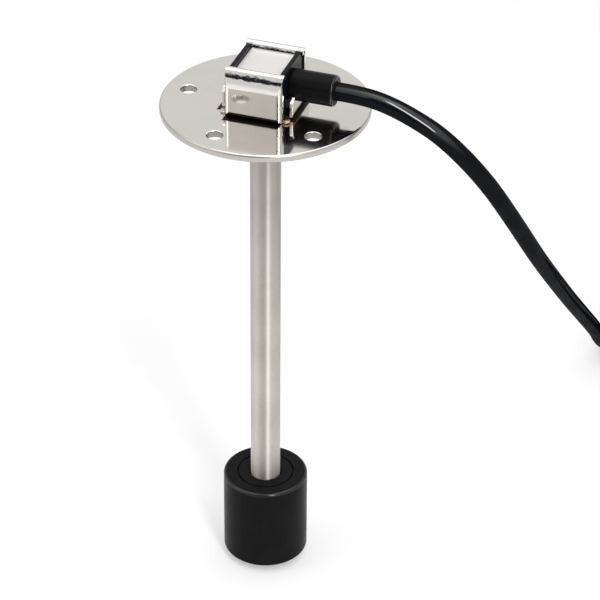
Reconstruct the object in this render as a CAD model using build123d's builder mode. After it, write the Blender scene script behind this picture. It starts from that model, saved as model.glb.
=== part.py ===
"""Reed fuel sender: a flange with a bracketed head, a stem with reed switches and a magnetic float."""
import os
from math import cos, pi, radians, sin, tan

from build123d import *

os.makedirs("parts", exist_ok=True)

# Flange
flange_d = 70.0
flange_t = 2.5
flange_edge_r = 0.7
bolt_circle_d = 54.0
bolt_hole_d = 5.5
bolt_count = 5
bolt_first_angle = 180.0
bolt_edge_chamfer = 0.35

# Stem
stem_d = 10.5
stem_wall = 1.0
stem_reach = 184.0
stem_plug_t = 1.6
weld_leg = 1.5
fit_gap = 0.05

# Stop rings in their grooves
ring_d = 15.5
ring_t = 1.0
ring_mouth = 3.4
groove_depth = 0.35
lower_ring_to_end = 1.8
upper_ring_drop = 14.0
stop_gap = 0.2

# Float and its magnet
float_d = 30.0
float_h = 32.4
float_bore_d = 11.5
float_edge_r = 0.9
float_bore_chamfer = 0.4
sleeve_wall = 0.7
cap_d = 20.0
cap_t = 3.0
cap_chamfer = 0.3
magnet_wall = 2.8
magnet_h = 5.0
magnet_play = 0.3

# Folded bracket of the head
sheet_t = 1.1
bracket_x = 19.8
bracket_y = 26.0
bracket_h = 16.8
foot_r = 1.8
corner_r = 1.7
return_depth = 2.7
shoulder_r = 10.5
shoulder_lean = 28.0
shoulder_rise = 3.0
curl_outer_r = 1.9
curl_inner_r = 1.4
curl_depth = 4.5
curl_drop = 2.0
tab_span = 24.6
tab_w = 16.6
tab_h = 7.5
tab_chamfer = 1.6
wire_hole_d = 9.0
bead_d = 3.0
bead_h = 1.3
bead_offset_x = 0.7
bead_offset_y = 2.7

# Housing, plate and resin
housing_x = 18.8
housing_floor = 1.5
cavity_x = 13.8
cavity_y = 20.0
rim_w = 1.5
rim_rise = 1.4
top_bevel = 0.7
plate_t = 0.8
plate_y = 21.6
rim_gap = 0.15

# Cable and its outlet
cable_d = 6.1
gland_height = 8.7
gland_d = 10.5
gland_length = 15.6
gland_chamfer = 0.65
gland_neck_d = 8.3
gland_collar_d = 9.4
gland_collar_t = 1.2
nipple_d = 7.0
nipple_length = 0.8
gland_clearance = 0.4
stub_inside = 0.5

# Circuit strip with its switches and resistors
strip_w = 6.4
strip_t = 0.8
strip_face_y = 0.5
strip_above_flange = 6.0
strip_end_gap = 0.8
reed_count = 12
reed_d = 1.9
reed_length = 8.5
reed_x = -1.4
resistor_d = 1.5
resistor_length = 3.4
resistor_x = 1.7
lead_d = 0.5
lead_reach = 0.9
body_lift = 0.1
core_d = 1.3
core_bend_r = 1.4
core_spacing_x = 3.2
core_spacing_z = 3.05
body_end_r = 0.35

# Put-away coil of the cable and its stripped end
coil_mid_r = 32.0
coil_rows = 2
coil_start_angle = 180.0
coil_end_angle = -1035.0
coil_edge_r = 2.4
coil_center_y = 186.0
lead_end_d = 1.8
lead_end_length = 14.0
lead_tip_d = 1.1
lead_tip_length = 5.0
lead_spacing = 2.4
lead_turn_in = 40.0
lead_hidden = 1.5

# Levels and radii that several pieces share
floor_z = -stem_reach
stem_bore_r = stem_d / 2 - stem_wall
lower_ring_z = floor_z + lower_ring_to_end
float_bottom_z = lower_ring_z + ring_t + stop_gap
float_top_z = float_bottom_z + float_h
upper_ring_z = -upper_ring_drop
float_travel = upper_ring_z - stop_gap - float_top_z
pocket_floor_z = float_top_z - cap_t - magnet_h - 2 * magnet_play
sleeve_r = float_bore_d / 2 + sleeve_wall
magnet_z = pocket_floor_z + magnet_play + magnet_h / 2
head_z = flange_t
base_top_z = head_z + sheet_t
plate_top_z = head_z + bracket_h - curl_drop - fit_gap
seat_z = plate_top_z - plate_t
gland_z = head_z + gland_height
wall_face_x = housing_x / 2
nipple_end_x = wall_face_x + fit_gap + gland_length + nipple_length
collar_x = cavity_x / 2 - fit_gap - gland_collar_t
stub_start_x = collar_x - stub_inside
cable_z = floor_z + cable_d / 2


def save(builder, name):
    """Label a finished piece and write its STEP file."""
    builder.part.label = name
    export_step(builder.part, f"parts/{name}.step")


# Flange: round plate with a centre hole for the stem and five bolt holes
with BuildPart() as flange:
    with BuildSketch(Plane.XY):
        Circle(flange_d / 2)
        Circle(stem_d / 2 + fit_gap, mode=Mode.SUBTRACT)
    extrude(amount=flange_t)
    fillet(flange.edges().group_by(Axis.Z)[-1].sort_by(SortBy.LENGTH)[-1], flange_edge_r)
    with BuildSketch(Plane.XY):
        with PolarLocations(bolt_circle_d / 2, bolt_count, start_angle=bolt_first_angle):
            Circle(bolt_hole_d / 2)
    extrude(amount=flange_t, mode=Mode.SUBTRACT)
    bolt_rims = flange.edges().filter_by(GeomType.CIRCLE)
    bolt_rims = bolt_rims.filter_by(lambda rim: abs(rim.radius - bolt_hole_d / 2) < fit_gap / 2)
    chamfer(bolt_rims.group_by(Axis.Z)[-1], bolt_edge_chamfer)
save(flange, "flange")

# Stem: straight tube with a groove for each stop ring
with BuildPart() as stem_tube:
    with BuildSketch(Plane.XY.offset(floor_z)):
        Circle(stem_d / 2)
        Circle(stem_bore_r, mode=Mode.SUBTRACT)
    extrude(amount=stem_reach + flange_t)
    for ring_z in (lower_ring_z, upper_ring_z):
        with BuildSketch(Plane.XY.offset(ring_z)):
            Circle(stem_d / 2 + fit_gap)
            Circle(stem_d / 2 - groove_depth, mode=Mode.SUBTRACT)
        extrude(amount=ring_t, mode=Mode.SUBTRACT)
save(stem_tube, "stem_tube")

# Weld fillet where the stem meets the underside of the flange
with BuildPart() as stem_weld:
    with BuildSketch(Plane.XZ):
        with BuildLine():
            Polyline((stem_d / 2, 0), (stem_d / 2 + weld_leg, 0), (stem_d / 2, -weld_leg), close=True)
        make_face()
    revolve(axis=Axis.Z)
save(stem_weld, "stem_weld")

# Disc that closes the end of the stem
with BuildPart() as stem_plug:
    with BuildSketch(Plane.XY.offset(floor_z)):
        Circle(stem_bore_r)
    extrude(amount=stem_plug_t)
save(stem_plug, "stem_plug")


def make_stop_ring(ring_z):
    """Open retaining ring that snaps into a groove of the stem."""
    with BuildPart() as ring:
        with BuildSketch(Plane.XY.offset(ring_z)):
            Circle(ring_d / 2)
            Circle(stem_d / 2 - groove_depth, mode=Mode.SUBTRACT)
            with Locations((0, ring_d / 2)):
                Rectangle(ring_mouth, ring_d, mode=Mode.SUBTRACT)
        extrude(amount=ring_t)
    return ring


save(make_stop_ring(lower_ring_z), "lower_stop_ring")
save(make_stop_ring(upper_ring_z), "upper_stop_ring")

# Float: foam cylinder with a bore and a ring pocket for the magnet
with BuildPart() as float_body:
    with BuildSketch(Plane.XY.offset(float_bottom_z)):
        Circle(float_d / 2)
        Circle(float_bore_d / 2, mode=Mode.SUBTRACT)
    extrude(amount=float_h)
    rims = float_body.edges().filter_by(GeomType.CIRCLE)
    fillet(rims.filter_by(lambda rim: rim.radius > cap_d / 2), float_edge_r)
    with BuildSketch(Plane.XY.offset(float_top_z - cap_t)):
        Circle(cap_d / 2 + fit_gap)
    extrude(amount=cap_t, mode=Mode.SUBTRACT)
    with BuildSketch(Plane.XY.offset(pocket_floor_z)):
        Circle(cap_d / 2 + fit_gap)
        Circle(sleeve_r, mode=Mode.SUBTRACT)
    extrude(amount=magnet_h + 2 * magnet_play, mode=Mode.SUBTRACT)
    bottom_bore = float_body.edges().filter_by(GeomType.CIRCLE).group_by(Axis.Z)[0].sort_by(SortBy.RADIUS)[0]
    chamfer(bottom_bore, float_bore_chamfer)
    top_mouth = float_body.edges().filter_by(GeomType.CIRCLE).group_by(Axis.Z)[-1].sort_by(SortBy.RADIUS)[0]
    chamfer(top_mouth, cap_chamfer)
save(float_body, "float_body")

# Cap that closes the magnet pocket, seen as the inner ring on the float's top
with BuildPart() as float_cap:
    with BuildSketch(Plane.XY.offset(float_top_z - cap_t)):
        Circle(cap_d / 2)
        Circle(float_bore_d / 2, mode=Mode.SUBTRACT)
    extrude(amount=cap_t)
    chamfer(float_cap.edges().group_by(Axis.Z)[-1], cap_chamfer)
save(float_cap, "float_cap")

# Ring magnet in the pocket of the float
magnet_inner_r = sleeve_r + magnet_play
with BuildPart() as float_magnet:
    with BuildSketch(Plane.XY.offset(magnet_z - magnet_h / 2)):
        Circle(magnet_inner_r + magnet_wall)
        Circle(magnet_inner_r, mode=Mode.SUBTRACT)
    extrude(amount=magnet_h)
save(float_magnet, "float_magnet")

# Front and rear walls of the bracket: one folded strip with its top edges curled inwards
wall_y = bracket_y / 2 - sheet_t / 2
curl_y = bracket_y / 2 - curl_depth + sheet_t / 2
strip_low_z = head_z + sheet_t / 2
strip_high_z = head_z + bracket_h - sheet_t / 2
lip_z = head_z + bracket_h - curl_drop
shoulder_z = strip_high_z - shoulder_rise
top_bend_y = wall_y - shoulder_rise * tan(radians(shoulder_lean))
bend_share = tan(radians(shoulder_lean / 2))
bend_low_z = shoulder_z - (shoulder_r - sheet_t / 2) * bend_share
with BuildPart() as bracket_walls:
    with BuildSketch(Plane.YZ):
        with BuildLine():
            FilletPolyline(
                (-curl_y, lip_z),
                (-curl_y, strip_high_z),
                (-top_bend_y, strip_high_z),
                (-wall_y, shoulder_z),
                (-wall_y, strip_low_z),
                (wall_y, strip_low_z),
                (wall_y, shoulder_z),
                (top_bend_y, strip_high_z),
                (curl_y, strip_high_z),
                (curl_y, lip_z),
                radius=[
                    curl_inner_r - sheet_t / 2,
                    curl_outer_r - sheet_t / 2,
                    shoulder_r - sheet_t / 2,
                    foot_r - sheet_t / 2,
                    foot_r - sheet_t / 2,
                    shoulder_r - sheet_t / 2,
                    curl_outer_r - sheet_t / 2,
                    curl_inner_r - sheet_t / 2,
                ],
            )
        trace(line_width=sheet_t)
    extrude(amount=bracket_x / 2, both=True)
    with BuildSketch(Plane.XY):
        RectangleRounded(bracket_x, bracket_y, corner_r)
    extrude(amount=head_z + bracket_h, mode=Mode.INTERSECT)
    with BuildSketch(Plane.XY.offset(head_z + foot_r)):
        RectangleRounded(bracket_x, bracket_y, corner_r)
        RectangleRounded(
            bracket_x - 2 * sheet_t, bracket_y - 2 * sheet_t, corner_r - sheet_t, mode=Mode.SUBTRACT
        )
        Rectangle(bracket_x, bracket_y - 2 * return_depth, mode=Mode.SUBTRACT)
    extrude(amount=bracket_h - foot_r - curl_outer_r)
    with BuildSketch(Plane.YZ):
        for side in (-1, 1):
            with BuildLine():
                lean_line = FilletPolyline(
                    (side * bracket_y / 2, bend_low_z - sheet_t),
                    (side * bracket_y / 2, shoulder_z + sheet_t / 2 * bend_share),
                    (side * (top_bend_y + sheet_t / 2 * bend_share), strip_high_z + sheet_t / 2),
                    radius=shoulder_r,
                )
                Polyline(
                    lean_line @ 1,
                    (side * bracket_y, head_z + bracket_h),
                    (side * bracket_y, bend_low_z - sheet_t),
                    lean_line @ 0,
                )
            make_face()
    extrude(amount=bracket_x / 2, both=True, mode=Mode.SUBTRACT)

# Bracket: the walls joined to a base with two upright side tabs
tab_x = tab_span / 2 - sheet_t / 2
with BuildPart() as head_bracket:
    with BuildSketch(Plane.XZ):
        with BuildLine():
            FilletPolyline(
                (-tab_x, head_z + tab_h),
                (-tab_x, strip_low_z),
                (tab_x, strip_low_z),
                (tab_x, head_z + tab_h),
                radius=[foot_r - sheet_t / 2, foot_r - sheet_t / 2],
            )
        trace(line_width=sheet_t)
    extrude(amount=tab_w / 2, both=True)
    chamfer(head_bracket.edges().filter_by(Axis.X).group_by(Axis.Z)[-1], tab_chamfer)
    add(bracket_walls.part)
    with BuildSketch(Plane.XY.offset(head_z)):
        Circle(wire_hole_d / 2)
    extrude(amount=sheet_t, mode=Mode.SUBTRACT)
    with BuildSketch(Plane.YZ.offset(bracket_x / 2)):
        with Locations((0, gland_z)):
            Circle(gland_d / 2 + gland_clearance)
    extrude(amount=tab_span / 2, mode=Mode.SUBTRACT)
save(head_bracket, "head_bracket")

# Tack welds at the four corners of the bracket's base
bead_x = bracket_x / 2 + bead_offset_x
bead_y = bracket_y / 2 - bead_offset_y
bead_places = [(bead_x, -bead_y), (-bead_x, -bead_y), (bead_x, bead_y), (-bead_x, bead_y)]
bead_round_r = ((bead_d / 2) ** 2 + bead_h**2) / (2 * bead_h)
for bead_number, bead_place in enumerate(bead_places, start=1):
    with BuildPart() as bead:
        with Locations((bead_place[0], bead_place[1], head_z + bead_h - bead_round_r)):
            Sphere(bead_round_r)
        with BuildSketch(Plane.XY.offset(head_z)):
            with Locations(bead_place):
                Circle(bead_d)
        extrude(amount=bead_h, mode=Mode.INTERSECT)
        add(head_bracket.part, mode=Mode.SUBTRACT)
    save(bead, f"bracket_weld_{bead_number}")

# Housing: black box between the walls, with a rim along each side of the plate
inner_y = bracket_y / 2 - sheet_t - fit_gap
inner_x = bracket_x / 2 - sheet_t - fit_gap
rim_y = bracket_y / 2 - curl_depth - rim_gap
rim_x = wall_face_x - rim_w / 2
foot_bevel = foot_r - sheet_t
with BuildPart() as head_housing:
    with BuildSketch(Plane.XY.offset(base_top_z)):
        RectangleRounded(2 * inner_x, 2 * inner_y, corner_r - sheet_t)
        Rectangle(housing_x, bracket_y - 2 * (return_depth + fit_gap))
    extrude(amount=seat_z - base_top_z)
    with BuildSketch(Plane.YZ):
        for side in (-1, 1):
            with BuildLine():
                Polyline(
                    (side * inner_y, base_top_z),
                    (side * (inner_y - foot_bevel), base_top_z),
                    (side * inner_y, base_top_z + foot_bevel),
                    close=True,
                )
            make_face()
            with BuildLine():
                Polyline(
                    (side * inner_y, seat_z),
                    (side * (inner_y - top_bevel), seat_z),
                    (side * inner_y, bend_low_z),
                    close=True,
                )
            make_face()
    extrude(amount=housing_x / 2, both=True, mode=Mode.SUBTRACT)
    with BuildSketch(Plane.XY.offset(seat_z)):
        with Locations((-rim_x, 0), (rim_x, 0)):
            Rectangle(rim_w, 2 * rim_y)
    extrude(amount=plate_t + rim_rise)
    with BuildSketch(Plane.XY.offset(base_top_z + housing_floor)):
        Rectangle(cavity_x, cavity_y)
    extrude(amount=bracket_h, mode=Mode.SUBTRACT)
    with BuildSketch(Plane.XY.offset(base_top_z)):
        Circle(wire_hole_d / 2)
    extrude(amount=housing_floor, mode=Mode.SUBTRACT)
    with BuildSketch(Plane.YZ):
        with Locations((0, gland_z)):
            Circle(gland_neck_d / 2 + fit_gap)
    extrude(amount=housing_x, mode=Mode.SUBTRACT)
save(head_housing, "head_housing")

# Plate between the rims, held under the curled edges
with BuildPart() as head_plate:
    with BuildSketch(Plane.XY.offset(seat_z)):
        Rectangle(housing_x - 2 * (rim_w + fit_gap), plate_y)
    extrude(amount=plate_t)
save(head_plate, "head_plate")

# Resin that fills the housing round the cable's end and the wires
with BuildPart() as potting:
    with BuildSketch(Plane.XY.offset(base_top_z + housing_floor)):
        Rectangle(cavity_x - 2 * fit_gap, cavity_y - 2 * fit_gap)
    extrude(amount=seat_z - base_top_z - housing_floor - fit_gap)
    with BuildSketch(Plane.XY.offset(base_top_z)):
        Circle(wire_hole_d / 2)
    extrude(amount=gland_z + wire_hole_d / 2 - base_top_z, mode=Mode.SUBTRACT)
    with BuildSketch(Plane.YZ):
        with Locations((0, gland_z)):
            Circle(gland_collar_d / 2 + fit_gap)
    extrude(amount=cavity_x, mode=Mode.SUBTRACT)
save(potting, "potting")

# Outlet of the cable: collar inside, neck through the wall, long sleeve and a short nipple outside
neck_r = gland_neck_d / 2
with BuildPart() as cable_gland:
    with BuildSketch(Plane.XZ):
        with BuildLine():
            Polyline(
                (collar_x, gland_z + cable_d / 2 + fit_gap),
                (collar_x, gland_z + gland_collar_d / 2),
                (cavity_x / 2 - fit_gap, gland_z + gland_collar_d / 2),
                (cavity_x / 2 - fit_gap, gland_z + neck_r),
                (wall_face_x + fit_gap, gland_z + neck_r),
                (wall_face_x + fit_gap, gland_z + gland_d / 2),
                (nipple_end_x - nipple_length - gland_chamfer, gland_z + gland_d / 2),
                (nipple_end_x - nipple_length, gland_z + gland_d / 2 - gland_chamfer),
                (nipple_end_x - nipple_length, gland_z + nipple_d / 2),
                (nipple_end_x, gland_z + nipple_d / 2),
                (nipple_end_x, gland_z + cable_d / 2 + fit_gap),
                close=True,
            )
        make_face()
    revolve(axis=Axis((0, 0, gland_z), (1, 0, 0)))
save(cable_gland, "cable_gland")

# End of the cable inside its outlet
with BuildPart() as cable_stub:
    with BuildSketch(Plane.YZ.offset(stub_start_x)):
        with Locations((0, gland_z)):
            Circle(cable_d / 2)
    extrude(amount=nipple_end_x - stub_start_x)
save(cable_stub, "cable_stub")

# Circuit strip that runs down the stem
strip_top_z = head_z + strip_above_flange
strip_bottom_z = floor_z + stem_plug_t + strip_end_gap
with BuildPart() as circuit_strip:
    with BuildSketch(Plane.XY.offset(strip_bottom_z)):
        with Locations((0, strip_face_y + strip_t / 2)):
            Rectangle(strip_w, strip_t)
    extrude(amount=strip_top_z - strip_bottom_z)
save(circuit_strip, "circuit_strip")


def make_leaded_body(x, z, body_d, body_length):
    """Upright cylinder with rounded ends and a wire at each end that bends back to the strip."""
    body_y = strip_face_y - body_lift - body_d / 2
    with BuildPart() as body:
        with BuildSketch(Plane.XY.offset(z - body_length / 2)):
            with Locations((x, body_y)):
                Circle(body_d / 2)
        extrude(amount=body_length)
        fillet(body.edges().filter_by(GeomType.CIRCLE), body_end_r)
        for end in (-1, 1):
            leg_z = z + end * (body_length / 2 + lead_reach - lead_d / 2)
            with BuildSketch(Plane.XY.offset(min(z, leg_z + end * lead_d / 2))):
                with Locations((x, body_y)):
                    Circle(lead_d / 2)
            extrude(amount=abs(leg_z + end * lead_d / 2 - z))
            with BuildSketch(Plane.XZ.offset(-body_y)):
                with Locations((x, leg_z)):
                    Circle(lead_d / 2)
            extrude(amount=body_y - strip_face_y)
    return body


# Reed switches from the float's lowest place to its highest, each with its resistor beside it
reed_pitch = float_travel / (reed_count - 1)
for reed_number in range(reed_count):
    reed_z = magnet_z + reed_number * reed_pitch
    save(make_leaded_body(reed_x, reed_z, reed_d, reed_length), f"reed_switch_{reed_number + 1:02d}")
    save(make_leaded_body(resistor_x, reed_z, resistor_d, resistor_length), f"resistor_{reed_number + 1:02d}")

# Two wires from the top of the strip to the end of the cable
core_y = strip_face_y - core_d / 2
core_foot_z = strip_top_z - core_d
for core_number, core_side in enumerate((-1, 1), start=1):
    core_x = core_side * core_spacing_x / 2
    core_end_z = gland_z - core_side * core_spacing_z / 2
    with BuildPart() as core_wire:
        with BuildLine() as core_path:
            FilletPolyline(
                (core_x, core_y, core_foot_z),
                (core_x, core_y, core_end_z),
                (stub_start_x, core_y, core_end_z),
                radius=core_bend_r,
            )
        with BuildSketch(Plane.XY.offset(core_foot_z)):
            with Locations((core_x, core_y)):
                Circle(core_d / 2)
        sweep()
    save(core_wire, f"core_wire_{core_number}")

# Cable from its outlet down to the surface that the stem stands on
cable_points = [
    Vector(nipple_end_x, 0, gland_z),
    Vector(35.5, 0, gland_z),
    Vector(46, 0.5, 8.4),
    Vector(61, 2.5, -1),
    Vector(73, 10.5, -18),
    Vector(80, 26, -42.5),
    Vector(83.5, 47.5, -68.5),
    Vector(85, 72, -94.5),
    Vector(85.5, 97, -118.5),
    Vector(86, 120, -140),
    Vector(87, 141, -160),
    Vector(88, 153, -169.2),
    Vector(88.7, 165, -176.6),
    Vector(89, 177, cable_z),
    Vector(89, 190, cable_z),
]


def corner_radii(points):
    """The largest tangent arc that two neighbouring runs of the route leave room for."""
    radii = []
    for before, corner, after in zip(points, points[1:], points[2:]):
        turn = (corner - before).get_angle(after - corner)
        shorter_run = min((corner - before).length, (after - corner).length)
        radii.append(0.45 * shorter_run / tan(radians(turn / 2)))
    return radii


cable_radii = corner_radii(cable_points)
with BuildPart() as cable_run:
    with BuildLine() as cable_path:
        FilletPolyline(*cable_points, radius=cable_radii)
    with BuildSketch(Plane(cable_points[0], z_dir=cable_points[1] - cable_points[0])):
        Circle(cable_d / 2)
    sweep(path=cable_path.wire())
save(cable_run, "cable_run")
cable_run_length = cable_path.wire().length
cable_volume_ratio = cable_run.part.volume / (pi * cable_d**2 / 4 * cable_run_length)
print("cable radii", [round(radius, 1) for radius in cable_radii])
print("cable run length", round(cable_run_length, 1), "volume ratio", round(cable_volume_ratio, 4))

# Coil of the put-away length: one closed ring of two rows, on the surface where the run reaches it
coil_half_w = coil_rows * cable_d / 2
coil_center = (cable_points[-1].X + coil_mid_r + coil_half_w - cable_d / 2, coil_center_y)
with BuildPart() as cable_coil:
    with BuildSketch(Plane.XY.offset(floor_z)):
        with Locations(coil_center):
            Circle(coil_mid_r + coil_half_w)
            Circle(coil_mid_r - coil_half_w, mode=Mode.SUBTRACT)
    extrude(amount=coil_rows * cable_d)
    fillet(cable_coil.edges().filter_by(GeomType.CIRCLE), coil_edge_r)
save(cable_coil, "cable_coil")

# Stripped end of the cable inside the coil: two insulated leads with bare tips
lead_angle = radians(coil_end_angle - 90 - lead_turn_in)
lead_way = Vector(cos(lead_angle), sin(lead_angle))
lead_side = Vector(-lead_way.Y, lead_way.X)
lead_root_r = coil_mid_r - coil_half_w + lead_hidden
lead_root = Vector(*coil_center) + lead_root_r * Vector(cos(radians(coil_end_angle)), sin(radians(coil_end_angle)))
for lead_number, side in enumerate((-1, 1), start=1):
    lead_start = lead_root + lead_side * (side * lead_spacing / 2)
    tip_start = lead_start + lead_way * lead_end_length
    lead_plane = Plane((lead_start.X, lead_start.Y, floor_z + lead_end_d / 2), z_dir=lead_way)
    tip_plane = Plane((tip_start.X, tip_start.Y, floor_z + lead_end_d / 2), z_dir=lead_way)
    with BuildPart() as lead_end:
        with BuildSketch(lead_plane):
            Circle(lead_end_d / 2)
        extrude(amount=lead_end_length)
    save(lead_end, f"lead_end_{lead_number}")
    with BuildPart() as lead_tip:
        with BuildSketch(tip_plane):
            Circle(lead_tip_d / 2)
        extrude(amount=lead_tip_length)
    save(lead_tip, f"lead_tip_{lead_number}")

coil_length = radians(coil_start_angle - coil_end_angle) * coil_mid_r
print("float travel", round(float_travel, 2), "reed pitch", round(reed_pitch, 2))
print("coil centre", coil_center, "coiled length", round(coil_length, 1))
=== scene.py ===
"""Reed fuel sender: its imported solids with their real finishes, its cable, and a small studio."""
import math

import bmesh
import bpy
from mathutils import Matrix, Vector, noise


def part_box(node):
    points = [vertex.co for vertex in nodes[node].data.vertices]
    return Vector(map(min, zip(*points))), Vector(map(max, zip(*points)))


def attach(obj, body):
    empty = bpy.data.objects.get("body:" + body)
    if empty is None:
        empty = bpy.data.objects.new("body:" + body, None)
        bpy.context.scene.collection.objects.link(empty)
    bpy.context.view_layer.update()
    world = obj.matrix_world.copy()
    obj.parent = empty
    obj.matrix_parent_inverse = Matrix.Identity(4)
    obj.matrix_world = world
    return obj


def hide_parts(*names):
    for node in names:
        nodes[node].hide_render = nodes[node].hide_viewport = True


bl_info = {
    "name": "Reed Fuel Sender",
    "version": (1, 0, 0),
    "blender": (4, 5, 0),
    "location": "3D View > Sidebar > Fuel Sender",
    "description": "Dresses a reed fuel sender in steel, rubber and foam, with cable and studio",
    "category": "Object",
}

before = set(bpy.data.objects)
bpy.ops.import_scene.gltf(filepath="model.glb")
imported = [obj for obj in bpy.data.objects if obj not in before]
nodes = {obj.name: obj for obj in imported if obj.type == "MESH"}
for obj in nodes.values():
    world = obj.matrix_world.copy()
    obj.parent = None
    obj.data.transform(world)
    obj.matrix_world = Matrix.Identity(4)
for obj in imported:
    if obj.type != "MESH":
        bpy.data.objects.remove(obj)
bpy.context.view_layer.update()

SENDER = "sender"
FLOAT = "float"
BUTTON_OPTIONS = {"REGISTER", "UNDO"}

# An edge that bends less than CREASE is shaded as round, or less than FLAT where one of its
# faces is WIDE times the other
CREASE = math.radians(32)
FLAT = math.radians(4)
WIDE = 8

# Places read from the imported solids
FLANGE_LOW, FLANGE_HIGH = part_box("flange")
GLAND_LOW, GLAND_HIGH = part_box("cable_gland")
PLATE_LOW, PLATE_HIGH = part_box("head_plate")
COIL_LOW, COIL_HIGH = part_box("cable_coil")
STEM_LOW, STEM_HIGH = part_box("stem_tube")
FLOAT_LOW, FLOAT_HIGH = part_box("float_body")
CAP_LOW, CAP_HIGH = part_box("float_cap")
MAGNET_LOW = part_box("float_magnet")[0]
BRACKET_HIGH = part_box("head_bracket")[1]
HOUSING_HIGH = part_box("head_housing")[1]
BEAD_BOXES = [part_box(f"bracket_weld_{number}") for number in range(1, 5)]
FLOOR_Z = STEM_LOW.z
STEM_R = STEM_HIGH.x
GLAND_Z = (GLAND_LOW.z + GLAND_HIGH.z) / 2
GLAND_R = (GLAND_HIGH.z - GLAND_LOW.z) / 2
UP = Vector((0, 0, 1))

# Route of the cable from its outlet to the coil, in metres
CABLE_ROUTE = [
    (0.024, 0.0, 0.0112),
    (0.032, 0.0001, 0.0112),
    (0.041, 0.0004, 0.0096),
    (0.0505, 0.0011, 0.0055),
    (0.061, 0.0023, -0.0009),
    (0.0729, 0.0103, -0.0184),
    (0.0799, 0.0259, -0.0424),
    (0.0836, 0.0475, -0.0686),
    (0.0856, 0.0724, -0.094),
    (0.0863, 0.0976, -0.1177),
    (0.0871, 0.1207, -0.139),
    (0.0888, 0.1392, -0.1572),
    (0.088, 0.153, -0.1704),
    (0.089, 0.1652, -0.1804),
    (0.089, 0.177, -0.18095),
]

# Tones that belong to a surface effect and not to a finish that a user would change
STRAW = (0.74, 0.62, 0.48, 1)
# Painted shade under the bracket's foot
PAINTED_SEAM_SHADE = (0.018, 0.014, 0.011, 1)
WORN_STEEL = (0.5, 0.475, 0.44, 1)
HOLE_STEEL = (0.3, 0.285, 0.26, 1)
PALE_WELD = (0.66, 0.6, 0.52, 1)
DUST = (0.08, 0.08, 0.08, 1)

# Spacing of the nodes in the editor, and the sockets of an effect by what they carry
NODE_WIDE, NODE_HIGH, NODE_ROWS = 190, 120, 4
SOCKET_KINDS = {
    "VALUE": "NodeSocketFloat", "VECTOR": "NodeSocketVector", "RGBA": "NodeSocketColor",
}


def length_prop(label, value, about, **limits):
    """A size in metres."""
    limits = {"min": 0, **limits}
    return bpy.props.FloatProperty(
        name=label, description=about, default=value, subtype="DISTANCE", **limits)


def color_prop(label, value, about):
    """A colour."""
    return bpy.props.FloatVectorProperty(
        name=label, description=about, default=value, min=0, max=1, subtype="COLOR")


def angle_prop(label, degrees, about):
    """An angle, with its default in degrees."""
    return bpy.props.FloatProperty(
        name=label, description=about, default=math.radians(degrees), subtype="ANGLE")


def power_prop(label, value, about):
    """The power of a lamp in watts."""
    return bpy.props.FloatProperty(
        name=label, description=about, default=value, min=0, subtype="POWER")


class SenderShape(bpy.types.PropertyGroup):
    """Sizes of the turned and stamped pieces that the frame doesn't give."""

    bolt_count: bpy.props.IntProperty(
        name="Bolt Holes", default=5, min=0, max=12,
        description="Number of bolt holes in the flange")
    bolt_circle: length_prop(
        "Bolt Circle", 0.054, "Diameter of the circle that the bolt holes lie on")
    bolt_hole: length_prop("Bolt Hole", 0.0055, "Diameter of each bolt hole")
    flange_edge: length_prop("Flange Edge", 0.0007, "Radius of the flange's worn rim")
    hole_edge: length_prop("Hole Edge", 0.00035, "Radius at the mouths of the bolt holes")
    sheet: length_prop("Sheet", 0.0011, "Thickness of the bracket's sheet")
    curl_depth: length_prop(
        "Curl Depth", 0.0045, "How far the bracket's curled edges reach inwards")
    tab_width: length_prop("Tab Width", 0.0166, "Width of each side tab")
    tab_height: length_prop("Tab Height", 0.0075, "Height of each side tab above the flange")
    tab_corner: length_prop("Tab Corner", 0.0016, "Size of the cut corners of each side tab")
    sleeve_edge: length_prop("Sleeve Edge", 0.00065, "Radius at the free end of the outlet sleeve")
    float_edge: length_prop("Float Edge", 0.0009, "Radius of the float's outer rims")
    float_bore: length_prop("Float Bore", 0.0115, "Diameter of the float's bore")
    cap_groove: length_prop(
        "Cap Groove", 0.00035,
        "Width of the groove round the float's cap, which is three times as deep")
    pocket_sleeve: length_prop(
        "Pocket Sleeve", 0.0007, "Wall of foam between the bore and the magnet's pocket")


class SenderFinish(bpy.types.PropertyGroup):
    """Colours of the sender's finishes, and the depth of the bracket's dents."""

    steel_color: color_prop(
        "Polished Steel", (0.8, 0.775, 0.735), "Colour of the flange and the folded bracket")
    stem_color: color_prop("Stem Steel", (0.68, 0.645, 0.59), "Colour of the brushed stem")
    tint_color: color_prop(
        "Heat Tint", (0.46, 0.31, 0.215), "Colour that the welding heat leaves on the steel")
    plate_color: color_prop(
        "Plate", (0.8, 0.795, 0.775), "Colour of the matt plate on top of the head")
    housing_color: color_prop("Housing", (0.005, 0.0058, 0.0085), "Colour of the moulded housing")
    sleeve_color: color_prop(
        "Outlet Sleeve", (0.0045, 0.0045, 0.0048), "Colour of the moulded sleeve round the cable")
    jacket_color: color_prop("Cable Jacket", (0.0045, 0.005, 0.0066), "Colour of the cable")
    foam_color: color_prop("Float", (0.009, 0.009, 0.0093), "Colour of the float's foam")
    curl_dents: length_prop(
        "Curl Dents", 0.00008,
        "Depth of the small dents that folding left along the bracket's curled edges",
        max=0.0003)


class SenderCable(bpy.types.PropertyGroup):
    """Sizes of the cable and its coil."""

    diameter: length_prop(
        "Diameter", 0.0061, "Outer diameter of the cable's jacket", min=0.002, max=0.02)
    points_per_turn: bpy.props.IntProperty(
        name="Points per Turn", default=18, min=12, max=36,
        description="Control points in each turn of the coil")
    start_angle: angle_prop("Coil Start", 180, "Where the cable runs into its coil")
    end_angle: angle_prop("Coil End", -1035, "Where the cable's stripped end leaves the coil")


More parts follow.
